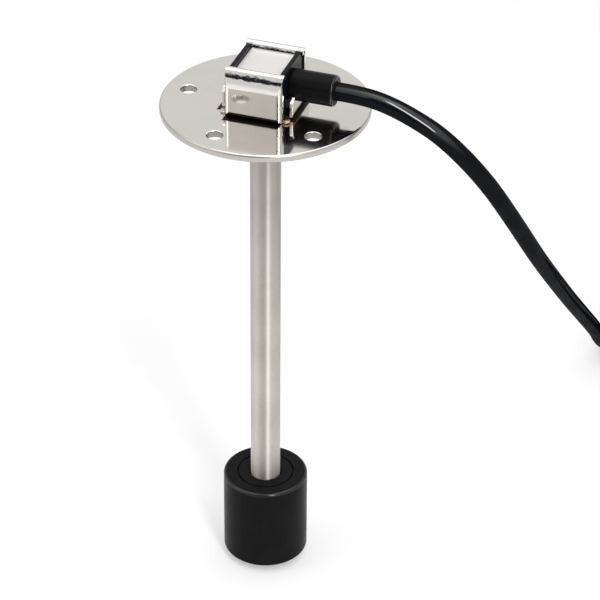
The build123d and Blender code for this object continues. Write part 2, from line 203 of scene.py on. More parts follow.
class SenderStudio(bpy.types.PropertyGroup):
    """Camera and lamps."""

    azimuth: angle_prop(
        "Camera Azimuth", 18.4888, "Turn of the camera about the stem, from the head's front")
    elevation: angle_prop(
        "Camera Elevation", 33.5624, "Height of the camera as an angle above the level")
    roll: angle_prop("Camera Roll", 0.4959, "Turn of the camera about its own line of sight")
    target: bpy.props.FloatVectorProperty(
        name="Camera Target", default=(0.0113674, 0.0034039, -0.0750417),
        subtype="TRANSLATION", description="Point in the middle of the picture")
    distance: length_prop(
        "Camera Distance", 0.9347668, "Distance from the camera to its target", min=0.1)
    lens: bpy.props.FloatProperty(
        name="Lens", default=162.9758, min=10, max=500,
        description="Focal length in millimetres on a 36 mm sensor")
    key_power: power_prop("Key Power", 3.7, "Power of the large soft lamp on the right")
    fill_power: power_prop("Fill Power", 1.6, "Power of the soft lamp on the left")
    top_power: power_prop("Top Power", 2.3, "Power of the soft lamp overhead")


def socket_name(name):
    """The title of a socket from its name in small letters."""
    return name.replace("_", " ").title().replace("Ior", "IOR")


def rgba(color, factor=1):
    """A colour with full alpha, darkened or lightened by a factor."""
    return (color[0] * factor, color[1] * factor, color[2] * factor, 1)


class Shading:
    """Short calls that add and join the nodes of one tree."""

    def __init__(self, tree):
        self.tree = tree
        self.column = 0
        self.own_place = None

    @property
    def place(self):
        """Coordinates in the sender's own frame, in metres."""
        if self.own_place is None:
            self.own_place = self.add("ShaderNodeTexCoord").outputs["Object"]
        return self.own_place

    def add(self, kind, inputs=None, **settings):
        node = self.tree.nodes.new(kind)
        node.location = (self.column * NODE_WIDE, -NODE_HIGH * (self.column % NODE_ROWS))
        self.column += 1
        for name, value in settings.items():
            setattr(node, name, value)
        for name, value in (inputs or {}).items():
            self.feed(node.inputs[name], value)
        return node

    def feed(self, target, value):
        if isinstance(value, bpy.types.NodeSocket):
            self.tree.links.new(value, target)
        else:
            target.default_value = value

    def operate(self, kind, operation, values):
        node = self.add(kind, operation=operation)
        for target, value in zip(node.inputs, values):
            self.feed(target, value)
        return node.outputs

    def math(self, operation, *values):
        return self.operate("ShaderNodeMath", operation, values)[0]

    def plus(self, first, second):
        return self.math("ADD", first, second)

    def minus(self, first, second):
        return self.math("SUBTRACT", first, second)

    def times(self, first, second):
        return self.math("MULTIPLY", first, second)

    def larger(self, first, second):
        return self.math("MAXIMUM", first, second)

    def long_side(self, first, second):
        """Length of the long side of a right triangle."""
        return self.math("SQRT", self.plus(self.times(first, first), self.times(second, second)))

    def vector(self, operation, *values):
        """What a vector operation gives: a number for a distance or dot product, else a vector."""
        result = "Value" if operation in ("DISTANCE", "DOT_PRODUCT") else "Vector"
        return self.operate("ShaderNodeVectorMath", operation, values)[result]

    def spread(self, value, low, high, to_low=0, to_high=1, smooth=True):
        """A value carried from one range over to another, eased at both ends."""
        inputs = {
            "Value": value, "From Min": low, "From Max": high, "To Min": to_low, "To Max": to_high
        }
        kind = "SMOOTHSTEP" if smooth else "LINEAR"
        return self.add("ShaderNodeMapRange", inputs, interpolation_type=kind).outputs["Result"]

    def blend(self, amount, first, second):
        """A mix of two colours, which have inputs 6 and 7 and output 2 of their node."""
        node = self.add("ShaderNodeMix", {0: amount, 6: first, 7: second}, data_type="RGBA")
        return node.outputs[2]

    def geometry(self, name):
        return self.add("ShaderNodeNewGeometry").outputs[name]

    def axes(self, vector=None):
        return self.add("ShaderNodeSeparateXYZ", {0: vector or self.place}).outputs

    def noise(self, scale, detail=4, rough=0.55, place=None):
        inputs = {"Scale": scale, "Detail": detail, "Roughness": rough}
        inputs["Vector"] = place or self.place
        return self.add("ShaderNodeTexNoise", inputs).outputs["Fac"]

    def cells(self, scale, feature="F1"):
        inputs = {"Vector": self.place, "Scale": scale}
        return self.add("ShaderNodeTexVoronoi", inputs, feature=feature).outputs["Distance"]

    def bump(self, height, distance, normal=None):
        inputs = {"Height": height, "Distance": distance, "Strength": 1}
        if normal is not None:
            inputs["Normal"] = normal
        return self.add("ShaderNodeBump", inputs).outputs["Normal"]

    def seen(self):
        """1 for the rays that show a thing itself, and 0 for those that only light others."""
        rays = self.add("ShaderNodeLightPath").outputs
        seen = self.larger(rays["Is Camera Ray"], rays["Is Glossy Ray"])
        return self.larger(seen, rays["Is Transmission Ray"])

    def effect(self, group_name, **inputs):
        named = {socket_name(name): value for name, value in inputs.items()}
        named["Place"] = self.place
        group = bpy.data.node_groups[group_name]
        return self.add("ShaderNodeGroup", named, node_tree=group).outputs

    def marks(self, scale, low, high, color, marked):
        return self.effect(
            "Handling Marks", patch_scale=scale, low=low, high=high,
            color=color, marked_color=marked)

    def skin(self, scale, depth):
        return self.effect("Moulded Skin", scale=scale, depth=depth)["Normal"]


class Surface(Shading):
    """A material, with its Principled shader already joined to the output."""

    def __init__(self, name, key=None):
        self.material = bpy.data.materials.new(name)
        if key:
            bpy.context.scene[f"finish_{key}"] = self.material.name
        self.material.use_nodes = True
        self.material.node_tree.nodes.clear()
        super().__init__(self.material.node_tree)
        output = self.add("ShaderNodeOutputMaterial")
        shader = self.add("ShaderNodeBsdfPrincipled")
        self.feed(output.inputs["Surface"], shader.outputs[0])
        self.shader_inputs = shader.inputs

    def set(self, **values):
        for name, value in values.items():
            self.feed(self.shader_inputs[socket_name(name)], value)


class Effect(Shading):
    """A group of nodes that several finishes share, with the place as its first input."""

    def __init__(self, name, **inputs):
        super().__init__(bpy.data.node_groups.new(name, "ShaderNodeTree"))
        self.open_socket("INPUT", "place", SOCKET_KINDS["VECTOR"])
        for label, default in inputs.items():
            size = len(default) if isinstance(default, tuple) else 1
            kind = SOCKET_KINDS[{1: "VALUE", 3: "VECTOR", 4: "RGBA"}[size]]
            self.open_socket("INPUT", label, kind).default_value = default
        self.given = self.add("NodeGroupInput").outputs
        self.own_place = self.given["Place"]

    def open_socket(self, side, label, kind):
        interface = self.tree.interface
        return interface.new_socket(socket_name(label), in_out=side, socket_type=kind)

    def give(self, **outputs):
        for label, value in outputs.items():
            self.open_socket("OUTPUT", label, SOCKET_KINDS[value.type])
        end = self.add("NodeGroupOutput").inputs
        for label, value in outputs.items():
            self.feed(end[socket_name(label)], value)


def build_effects():
    """Surface effects that several finishes share."""
    # Soft patches and a finer mottle that change the roughness and the tone
    s = Effect(
        "Handling Marks", patch_scale=60.0, low=0.1, high=0.2,
        color=(0.5, 0.5, 0.5, 1), marked_color=(0.4, 0.4, 0.4, 1))
    given = s.given
    patches = s.noise(given["Patch Scale"], 3)
    mottle = s.noise(s.times(given["Patch Scale"], 9), 5, 0.7)
    mask = s.spread(s.plus(s.times(patches, 0.7), s.times(mottle, 0.3)), 0.38, 0.64)
    s.give(
        roughness=s.spread(mask, 0, 1, given["Low"], given["High"], smooth=False),
        color=s.blend(mask, given["Color"], given["Marked Color"]),
        mask=mask)

    # Drawn or brushed lines, stretched by three factors
    s = Effect("Drawn Grain", stretch=(1, 1, 1), scale=400.0)
    stretched = s.vector("MULTIPLY", s.place, s.given["Stretch"])
    grain = s.noise(s.given["Scale"], 6, 0.65, stretched)
    s.give(height=grain, lines=s.spread(grain, 0.42, 0.6))

    # The fine pebble of moulded plastic, rubber or foam
    s = Effect("Moulded Skin", scale=3000.0, depth=0.00001)
    cells = s.cells(s.given["Scale"], "SMOOTH_F1")
    pebble = s.plus(s.times(cells, 0.5), s.noise(s.given["Scale"], 3))
    s.give(normal=s.bump(pebble, s.given["Depth"]))

    # Straw and then copper towards a weld, by the distance from it
    s = Effect(
        "Heat Tint", distance=1.0, reach=0.004, color=(0.8, 0.8, 0.8, 1), tint=(0.4, 0.2, 0.1, 1))
    given = s.given
    wander = s.times(s.minus(s.noise(420, 3), 0.5), 0.9)
    nearness = s.minus(1, s.math("DIVIDE", given["Distance"], given["Reach"]))
    nearness = s.plus(nearness, wander)
    straw = s.blend(s.spread(nearness, -0.1, 0.35), given["Color"], STRAW)
    s.give(
        color=s.blend(s.spread(nearness, 0.25, 0.8), straw, given["Tint"]),
        mask=s.spread(nearness, 0, 0.85))

    # Painted shade where two pieces meet, by a mask from 0 to 1
    s = Effect("Painted Seam Shade", near=0.0, color=(0.8, 0.8, 0.8, 1), roughness=0.1)
    given = s.given
    ragged = s.times(s.minus(s.noise(700), 0.5), 0.5)
    painted_shade = s.spread(s.plus(given["Near"], ragged), 0.15, 0.85)
    s.give(
        color=s.blend(painted_shade, given["Color"], PAINTED_SEAM_SHADE),
        roughness=s.plus(given["Roughness"], s.times(painted_shade, 0.3)))


def ran_hot(bead_low):
    """Whether a tack weld, by its low corner, is the front right one, which was run hottest."""
    return bead_low.x > 0 > bead_low.y


def steel_base(key, finish, low, high):
    """Polished sheet steel with handling marks, weld tint and painted shade at the bracket's seam.
    """
    s = Surface(f"Polished {key} steel", key)
    color = finish.steel_color
    marks = s.marks(55, low, high, rgba(color), rgba(color, 0.95))
    nearest = None
    for bead_low, bead_high in BEAD_BOXES:
        # A weld that was run cooler counts as further away
        gap = s.vector("DISTANCE", s.place, (bead_low + bead_high) / 2)
        gap = s.times(gap, 1 if ran_hot(bead_low) else 1.9)
        nearest = gap if nearest is None else s.math("MINIMUM", nearest, gap)
    heated = s.effect(
        "Heat Tint", distance=nearest, reach=0.003,
        color=marks["Color"], tint=rgba(finish.tint_color))
    # The painted shade follows the foot of the walls and of the tabs, narrow at their corners
    x, y, z = s.axes()
    across, along = s.math("ABSOLUTE", x), s.math("ABSOLUTE", y)
    half_tab = bpy.context.scene.sender_shape.tab_width / 2
    from_walls = s.larger(
        s.times(s.minus(across, BRACKET_HIGH.x - 0.003), 8), s.minus(along, BRACKET_HIGH.y))
    from_tabs = s.larger(
        s.times(s.minus(across, BRACKET_HIGH.x - 0.0006), 1.4),
        s.times(s.minus(along, half_tab), 2))
    outside = s.math("MINIMUM", from_walls, from_tabs)
    beside = s.larger(outside, s.times(s.minus(z, FLANGE_HIGH.z), 9))
    # Painted shade: a dark band on the bracket's foot and on the flange round it
    seam = s.effect(
        "Painted Seam Shade", near=s.spread(beside, 0.0032, 0.0022, smooth=False),
        color=heated["Color"], roughness=s.plus(marks["Roughness"], s.times(heated["Mask"], 0.12)))
    s.set(metallic=1)
    return s, seam


def metal_finishes(finish):
    """The steels, the welds and the plate."""
    # Polished flange with the fine lines of its rolled sheet, a worn rim and darker holes
    s, seam = steel_base("flange", finish, 0.055, 0.12)
    x, y, _ = s.axes()
    rim = s.spread(s.long_side(x, y), FLANGE_HIGH.x - 0.0006, FLANGE_HIGH.x - 0.0003)
    upward = s.math("ABSOLUTE", s.axes(s.geometry("Normal"))["Z"])
    in_hole = s.minus(s.spread(upward, 0.7, 0.3), rim)
    edged = s.blend(rim, seam["Color"], WORN_STEEL)
    rolled = s.effect("Drawn Grain", stretch=(1, 0.06, 1), scale=900)
    flat = s.bump(s.noise(38, 1), 0.00002)
    s.set(
        base_color=s.blend(in_hole, edged, HOLE_STEEL),
        roughness=s.larger(seam["Roughness"], s.times(s.larger(rim, in_hole), 0.3)),
        normal=s.bump(rolled["Height"], 0.0000012, flat))

    # Folded bracket: brushed walls, and dents where the top edges were curled over
    s, seam = steel_base("bracket", finish, 0.06, 0.1)
    top = BRACKET_HIGH.z
    on_curl = s.spread(s.axes()["Z"], top - 0.0042, top - 0.0022)
    brushed = s.times(s.minus(1, on_curl), 0.05)
    dents = s.noise(480, 2, place=s.vector("MULTIPLY", s.place, (1, 0.6, 1.3)))
    dented = s.bump(s.times(dents, on_curl), finish.curl_dents)
    s.set(
        base_color=seam["Color"],
        roughness=s.plus(seam["Roughness"], brushed),
        normal=s.bump(s.noise(60, 1), 0.000015, dented))

    # Stem: a tube polished round its girth, which spreads its highlights along its length
    s = Surface("Brushed stem steel", "stem")
    color = finish.stem_color
    marks = s.marks(45, 0.46, 0.54, rgba(color), rgba(color, 0.93))
    brushed = s.effect("Drawn Grain", stretch=(0.25, 0.25, 1), scale=2600)
    lined = s.blend(s.times(brushed["Lines"], 0.25), marks["Color"], rgba(color, 0.82))
    # Painted shade: the stem's colour darkens towards the flange above it
    painted_flange_shade = s.times(s.spread(s.axes()["Z"], -0.11, -0.01), 0.8)
    s.set(
        base_color=s.blend(painted_flange_shade, lined, rgba(color, 0.7)),
        roughness=marks["Roughness"],
        normal=s.bump(brushed["Height"], 0.000004),
        tangent=s.add("ShaderNodeTangent", direction_type="RADIAL", axis="Z").outputs[0],
        metallic=1, anisotropic=0.93, anisotropic_rotation=0.25)

    # Stop rings: plain spring steel
    s = Surface("Spring steel", "spring")
    marks = s.marks(300, 0.3, 0.42, (0.42, 0.41, 0.4, 1), (0.3, 0.29, 0.28, 1))
    s.set(base_color=marks["Color"], roughness=marks["Roughness"], metallic=1)

    # Welds: rippled, dull metal, with copper tint on the tacks
    for key, tone, share in (("weld", (0.52, 0.48, 0.43), 0.25), ("tack", finish.tint_color, 0.85)):
        s = Surface(f"Weld metal {key}", key)
        mottle = s.noise(900, 4)
        s.set(
            base_color=s.blend(s.spread(mottle, 0.35, 0.75 + 0.3 * share), rgba(tone), PALE_WELD),
            roughness=s.spread(mottle, 0.3, 0.7, 0.18, 0.36),
            normal=s.bump(s.noise(1500, 3), 0.00004),
            metallic=1)

    # Plate: fine matt metal with darker specks
    s = Surface("Matt plate metal", "plate")
    color = finish.plate_color
    marks = s.marks(160, 0.36, 0.46, rgba(color), rgba(color, 0.965))
    specks = s.spread(s.cells(700), 0.07, 0.12)
    s.set(
        base_color=s.blend(specks, rgba(color, 0.86), marks["Color"]),
        roughness=marks["Roughness"],
        normal=s.skin(5000, 0.0000015),
        metallic=0.4)


def worn_rim(s, across, radius, along, place_along, reach):
    """Mask of a round rim: how near a point is to a circle about an axis."""
    outward = s.minus(s.long_side(*across), radius)
    away = s.long_side(outward, s.minus(along, place_along))
    return s.spread(away, reach, reach * 0.6)


def polish_and_highlight(key, s, marks):
    """Mask of handling polish on the float and the sleeve, and of a painted highlight on the cable.
    """
    x, y, z = s.axes()
    if key == "foam":
        return worn_rim(s, (x, y), FLOAT_HIGH.x - 0.0003, z, FLOAT_HIGH.z - 0.0003, 0.0008)
    if key == "sleeve":
        up = s.minus(z, GLAND_Z)
        return worn_rim(s, (y, up), GLAND_R - 0.0002, x, GLAND_HIGH.x - 0.0017, 0.0006)
    # On the cable it is a painted highlight beside the flange, and a little gloss everywhere
    # The glossy band faces halfway between the key lamp and the camera
    outer = s.vector("DOT_PRODUCT", s.geometry("Normal"), (0.374, -0.691, 0.619))
    highlight_stripe = s.times(s.spread(outer, 0.84, 0.98), s.spread(z, -0.045, -0.012))
    return s.larger(highlight_stripe, s.spread(marks["Mask"], 0, 1, 0.09, 0.06))


def black_finishes(finish):
    """The moulded black pieces."""
    # Name, colour, roughness from and to, skin scale and depth, and gloss
    for key, color, low, high, scale, depth, gloss in (
        ("housing", finish.housing_color, 0.2, 0.3, 2400, 0.000003, 0.08),
        ("sleeve", finish.sleeve_color, 0.3, 0.4, 3200, 0.000005, 0.07),
        ("foam", finish.foam_color, 0.3, 0.38, 2600, 0.000004, 0.04),
        ("jacket", finish.jacket_color, 0.13, 0.19, 1500, 0.000002, 0),
    ):
        s = Surface(f"Black {key}", key)
        marks = s.marks(90, low, high, rgba(color), rgba(color, 1.3))
        dust = s.times(s.spread(s.cells(260), 0.05, 0.03), 0.2)
        s.set(
            base_color=s.blend(dust, marks["Color"], DUST), roughness=marks["Roughness"],
            normal=s.skin(scale, depth), specular_ior_level=gloss)
        if key != "housing":
            coat_rough, coat_ior = (0.08, 1.8) if key == "jacket" else (0.16, 1.5)
            s.set(
                coat_weight=s.times(polish_and_highlight(key, s, marks), 0.8),
                coat_roughness=coat_rough, coat_ior=coat_ior)


def inner_finishes():
    """What lies inside the sender, and the stripped end of its cable."""
    # Name, label, dark and light colour, roughness from and to, patch scale and metal
    for key, label, dark, light, low, high, scale, metal in (
        ("ferrite", "Ferrite", (0.045, 0.045, 0.05), (0.08, 0.08, 0.085), 0.5, 0.7, 900, 0),
        ("resin", "Cast resin", (0.012, 0.012, 0.014), (0.03, 0.03, 0.034), 0.1, 0.25, 200, 0),
        ("resistor", "Resistor lacquer", (0.42, 0.3, 0.17), (0.62, 0.48, 0.3), 0.25, 0.4, 1600, 0),
        ("red", "Red insulation", (0.42, 0.012, 0.012), (0.55, 0.02, 0.02), 0.28, 0.4, 500, 0),
        ("black", "Black insulation", (0.01, 0.01, 0.01), (0.02, 0.02, 0.02), 0.28, 0.4, 500, 0),
        ("copper", "Bare copper", (0.6, 0.3, 0.18), (0.8, 0.45, 0.3), 0.22, 0.4, 1800, 1),
    ):
        s = Surface(label, key)
        marks = s.marks(scale, low, high, rgba(light), rgba(dark))
        s.set(
            base_color=marks["Color"], roughness=marks["Roughness"],
            normal=s.skin(3500, 0.000006), metallic=metal)

    # Circuit strip: green board with two lengthwise tracks
    s = Surface("Green board", "board")
    from_track = s.math("ABSOLUTE", s.minus(s.math("ABSOLUTE", s.axes()["X"]), 0.0024))
    track = s.spread(from_track, 0.00042, 0.00036)
    weave = s.noise(2600, 3, place=s.vector("MULTIPLY", s.place, (1, 1, 0.4)))
    ground = s.blend(weave, (0.008, 0.09, 0.035, 1), (0.02, 0.17, 0.07, 1))
    s.set(
        base_color=s.blend(track, ground, (0.05, 0.28, 0.1, 1)),
        roughness=s.spread(weave, 0.3, 0.7, 0.22, 0.36),
        normal=s.bump(track, 0.00003))

    # Reed switches: green-tinted glass, with metal where only the thin leads are
    s = Surface("Reed glass", "reed")
    low_corner, high_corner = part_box("reed_switch_01")
    reed_r = (high_corner.x - low_corner.x) / 2
    axis_point = (low_corner.x + reed_r, low_corner.y + reed_r, 0)
    from_axis = s.vector("DISTANCE", s.vector("MULTIPLY", s.place, (1, 1, 0)), axis_point)
    is_glass = s.spread(from_axis, reed_r * 0.4, reed_r * 0.5)
    s.set(
        base_color=s.blend(is_glass, (0.7, 0.68, 0.62, 1), (0.45, 0.75, 0.55, 1)),
        roughness=s.spread(s.noise(1200), 0.3, 0.7, 0.04, 0.12),
        metallic=0, transmission_weight=0.6, ior=1.48)


def material_of(key):
    return bpy.data.materials[bpy.context.scene[f"finish_{key}"]]


def paint(**finishes):
    """Give pieces of the frame, by their names, one finish each over all their faces."""
    for name, key in finishes.items():
        materials = nodes[name].data.materials
        for place in range(len(materials)):
            materials[place] = material_of(key)
        if not materials:
            materials.append(material_of(key))


def is_soft(edge):
    """Whether an edge is shaded as round: no corner, and no wide flat that meets a narrow round."""
    if len(edge.link_faces) != 2:
        return False
    angle = edge.calc_face_angle(0)
    areas = sorted(face.calc_area() for face in edge.link_faces)
    return angle < CREASE and (angle < FLAT or areas[1] < areas[0] * WIDE)


def add_object(name, data):
    made = bpy.data.objects.new(name, data)
    bpy.context.scene.collection.objects.link(made)
    return made


def add_piece(name, data, key, body=SENDER):
    """A new object that wears one finish and rides on its body."""
    data.materials.append(material_of(key))
    piece = add_object(name, data)
    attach(piece, body)
    return piece


def add_mesh(name, mesh_builder, key, body=SENDER):
    """A new smooth piece from a function that fills a bmesh."""
    mesh = bpy.data.meshes.new(name)
    shape = bmesh.new()
    mesh_builder(shape)
    bmesh.ops.recalc_face_normals(shape, faces=shape.faces)
    for face in shape.faces:
        face.smooth = True
    for edge in shape.edges:
        edge.smooth = is_soft(edge)
    shape.to_mesh(mesh)
    shape.free()
    return add_piece(name, mesh, key, body)


def add_tube(name, points, diameter, key):
    """A round curve along control points, closed at both ends."""
    curve = bpy.data.curves.new(name, "CURVE")
    curve.dimensions = "3D"
    curve.resolution_u = 8
    curve.bevel_depth = diameter / 2
    curve.bevel_resolution = 7
    curve.use_fill_caps = True
    spline = curve.splines.new("NURBS")
    spline.points.add(len(points) - 1)
    for control, point in zip(spline.points, points):
        control.co = (point[0], point[1], point[2], 1)
    spline.order_u = 3
    spline.use_endpoint_u = True
    return add_piece(name, curve, key)


def bridge(shape, loops):
    """Faces between each closed loop of points and the next one."""
    for here, there in zip(loops, loops[1:]):
        for place in range(len(here)):
            after = (place + 1) % len(here)
            shape.faces.new((here[place], here[after], there[after], there[place]))


def turned(shape, profile, center, along, segments=96):
    """Turn a closed profile of (distance along the axis, radius) about an axis."""
    side = along.orthogonal().normalized()
    up = along.cross(side)
    rings = []
    for step in range(segments):
        angle = 2 * math.pi * step / segments
        outward = side * math.cos(angle) + up * math.sin(angle)
        rings.append([
            shape.verts.new(center + along * reach + outward * radius) for reach, radius in profile
        ])
    bridge(shape, rings + rings[:1])


def rounded(profile, corner_radii, steps=5):
    """Round the corners of a closed profile, each by its own radius; 0 leaves it sharp."""
    points = []
    for place, radius in enumerate(corner_radii):
        corner = Vector(profile[place])
        if radius == 0:
            points.append(tuple(corner))
            continue
        before = (Vector(profile[place - 1]) - corner).normalized()
        after = (Vector(profile[(place + 1) % len(profile)]) - corner).normalized()
        half_angle = before.angle(after) / 2
        reach = radius / math.tan(half_angle)
        middle = corner + (before + after).normalized() * (radius / math.sin(half_angle))
        start = corner + before * reach - middle
        end = corner + after * reach - middle
        # A point just before and after the arc keeps the flats beside it flat
        points.append(tuple(corner + before * reach * 1.2))
        for step in range(steps + 1):
            share = step / steps
            arm = (start * (1 - share) + end * share).normalized() * radius
            points.append(tuple(middle + arm))
        points.append(tuple(corner + after * reach * 1.2))
    return points


def plate_with_holes(shape, low_z, high_z, circles, arc_steps=6):
    """A flat plate between circles of (x, y, radius, edge radius); the first is its outline."""
    low_edges, high_edges = [], []
    for place, (x, y, radius, edge_r) in enumerate(circles):
        inward, count = (1, 192) if place == 0 else (-1, 72)
        profile = [(edge_r * 1.25, high_z)]
        for step in range(arc_steps + 1):
            angle = math.pi / 2 * step / arc_steps
            drop = edge_r * (1 - math.cos(angle))
            profile.append((edge_r * (1 - math.sin(angle)), high_z - drop))
        profile += [(inset, low_z + high_z - z) for inset, z in reversed(profile)]
        loops = []
        for inset, z in profile:
            reach = radius - inward * inset
            angles = [2 * math.pi * turn / count for turn in range(count)]
            loops.append([
                shape.verts.new((x + reach * math.cos(angle), y + reach * math.sin(angle), z))
                for angle in angles
            ])
        bridge(shape, loops)
        for loop, kept in ((loops[0], high_edges), (loops[-1], low_edges)):
            kept += [shape.edges.get(pair) for pair in zip(loop, loop[1:] + loop[:1])]
    for edges in (low_edges, high_edges):
        bmesh.ops.triangle_fill(shape, use_beauty=True, edges=edges)


def twisted_strands(shape, middle, half, thick, way, side):
    """Six round strands twisted about a seventh."""
    stations, sides, twist = 14, 8, 0.28
    for strand in range(7):
        off = 0 if strand == 6 else thick
        rings = []
        for place in range(stations + 1):
            reach = -half + 2 * half * place / stations
            spin = strand * math.pi / 3 + place * twist
            heart = middle + way * reach + side * (off * math.cos(spin))
            heart.z += off * math.sin(spin)
            rings.append([])
            for turn in range(sides):
                angle = 2 * math.pi / sides * turn
                rise = Vector((0, 0, thick / 2 * math.sin(angle)))
                beside = side * (thick / 2 * math.cos(angle))
                rings[-1].append(shape.verts.new(heart + beside + rise))
        bridge(shape, rings)
        shape.faces.new(rings[0])
        shape.faces.new(rings[-1])


class SENDER_OT_finishes(bpy.types.Operator):
    """Build the shared surface effects and one material for each finish."""

    bl_idname = "sender.finishes"
    bl_label = "Make Finishes"
    bl_options = BUTTON_OPTIONS

    def execute(self, context):
        build_effects()
        metal_finishes(context.scene.sender_finish)
        black_finishes(context.scene.sender_finish)
        inner_finishes()
        return {"FINISHED"}


class SENDER_OT_studio(bpy.types.Operator):
    """Place the camera, the lamps, the pale floor and the light tent that the steel reflects."""

    bl_idname = "sender.studio"
    bl_label = "Set Up Studio"
    bl_options = BUTTON_OPTIONS

    def execute(self, context):
        scene = context.scene
        studio = scene.sender_studio
        scene.view_settings.view_transform = "Standard"
        self.place_camera(scene, studio)
        self.light_world(scene)
        self.lay_floor()
        self.raise_tent(studio)
        # Name, turn from the camera and rise in degrees, distance, size and power
        for name, turn, rise, reach, size, power in (
            ("key_lamp", 21, 42, 0.95, (0.14, 0.8), studio.key_power),
            ("fill_lamp", -78, 38, 1.1, (0.7, 0.7), studio.fill_power),
            ("top_lamp", 150, 78, 1, (0.9, 0.9), studio.top_power),
        ):
            self.hang_lamp(name, math.degrees(studio.azimuth) + turn, rise, reach, size, power)
        return {"FINISHED"}

    @staticmethod
    def direction(turn, rise):
        """Unit vector towards a place seen at an azimuth and an elevation, in degrees."""
        turn, rise = math.radians(turn), math.radians(rise)
        level = math.cos(rise)
        return Vector((math.sin(turn) * level, -math.cos(turn) * level, math.sin(rise)))

    def place_camera(self, scene, studio):
        lens = bpy.data.cameras.new("studio_camera")
        lens.lens = studio.lens
        lens.sensor_width = 36
        lens.clip_start = 0.05
        lens.clip_end = 100
        camera = add_object("studio_camera", lens)
        back = self.direction(math.degrees(studio.azimuth), math.degrees(studio.elevation))
        level = Vector((math.cos(studio.azimuth), math.sin(studio.azimuth), 0))
        upward = back.cross(level)
        right = level * math.cos(studio.roll) + upward * math.sin(studio.roll)
        upward = back.cross(right)
        turn = Matrix((right, upward, back)).transposed().to_4x4()
        spot = Vector(studio.target) + back * studio.distance
        camera.matrix_world = Matrix.Translation(spot) @ turn
        scene.camera = camera

    @staticmethod
    def light_world(scene):
        world = bpy.data.worlds.new("studio_world")
        scene.world = world
        world.use_nodes = True
        world.node_tree.nodes.clear()
        s = Shading(world.node_tree)
        strength = s.spread(s.seen(), 0, 1, 0.5, 1)
        sky = s.add("ShaderNodeBackground", {"Color": (1, 1, 1, 1), "Strength": strength})
        s.add("ShaderNodeOutputWorld", {"Surface": sky.outputs[0]})

    @staticmethod
    def add_backdrop(name, build, surface):
        """A mesh of the studio."""
        mesh = bpy.data.meshes.new(name)
        shape = bmesh.new()
        build(shape)
        shape.to_mesh(mesh)
        shape.free()
        mesh.materials.append(surface.material)
        return add_object(name, mesh)

    def lay_floor(self):
        s = Surface("studio_floor")
        s.set(
            base_color=(0.8, 0.8, 0.8, 1), roughness=1, specular_ior_level=0,
            emission_color=(1, 1, 1, 1), emission_strength=s.times(s.seen(), 0.35))

        def build(shape):
            bmesh.ops.create_grid(shape, x_segments=4, y_segments=4, size=12)
            bmesh.ops.translate(shape, verts=shape.verts, vec=(0, 0, FLOOR_Z - 0.0001))

        floor = self.add_backdrop("studio_floor", build, s)

    def raise_tent(self, studio):
        """A tent of pale cloth that only the reflections see, with the camera's dark opening."""
        s = Surface("Tent cloth")
        toward = s.vector("NORMALIZE", s.geometry("Position"))
        turn = s.add("ShaderNodeVectorRotate", {"Vector": toward, "Angle": -studio.azimuth},
                     rotation_type="Z_AXIS")
        x, y, z = s.axes(turn.outputs[0])
        bearing = s.math("ARCTAN2", x, s.times(y, -1))
        rise = s.math("ARCSINE", z)
        low_band = s.times(s.spread(rise, 0.07, 0.14), s.spread(rise, 0.46, 0.36))
        left = s.times(s.spread(bearing, -0.85, -0.65), s.spread(bearing, 0, -0.12))
        opening = s.times(s.spread(bearing, -0.42, -0.34), s.spread(bearing, 0.18, 0.1))
        opening = s.times(opening, s.spread(rise, 0.8, 0.65))
        dark = s.larger(s.times(low_band, left), opening)
        s.set(
            base_color=(0, 0, 0, 1), roughness=1, specular_ior_level=0,
            emission_color=s.blend(dark, (1, 0.99, 0.975, 1), (0.01, 0.018, 0.032, 1)),
            emission_strength=s.spread(rise, 0.75, 1.25, 0.78, 1.35))
        s.material.cycles.emission_sampling = "NONE"

        def build(shape):
            bmesh.ops.create_uvsphere(shape, u_segments=64, v_segments=32, radius=6)

        tent = self.add_backdrop("light_tent", build, s)
        tent.data.shade_smooth()
        for ray in ("camera", "diffuse", "transmission", "shadow", "volume_scatter"):
            setattr(tent, f"visible_{ray}", False)

    def hang_lamp(self, name, turn, rise, reach, size, power):
        """A soft lamp that shines on the middle of the stem."""
        lamp = bpy.data.lights.new(name, "AREA")
        lamp.shape = "RECTANGLE"
        lamp.size, lamp.size_y = size
        lamp.energy = power
        hung = add_object(name, lamp)
        toward = self.direction(turn, rise)
        hung.location = Vector((0, 0, FLOOR_Z / 2)) + toward * reach
        hung.rotation_euler = toward.to_track_quat("Z", "Y").to_euler()


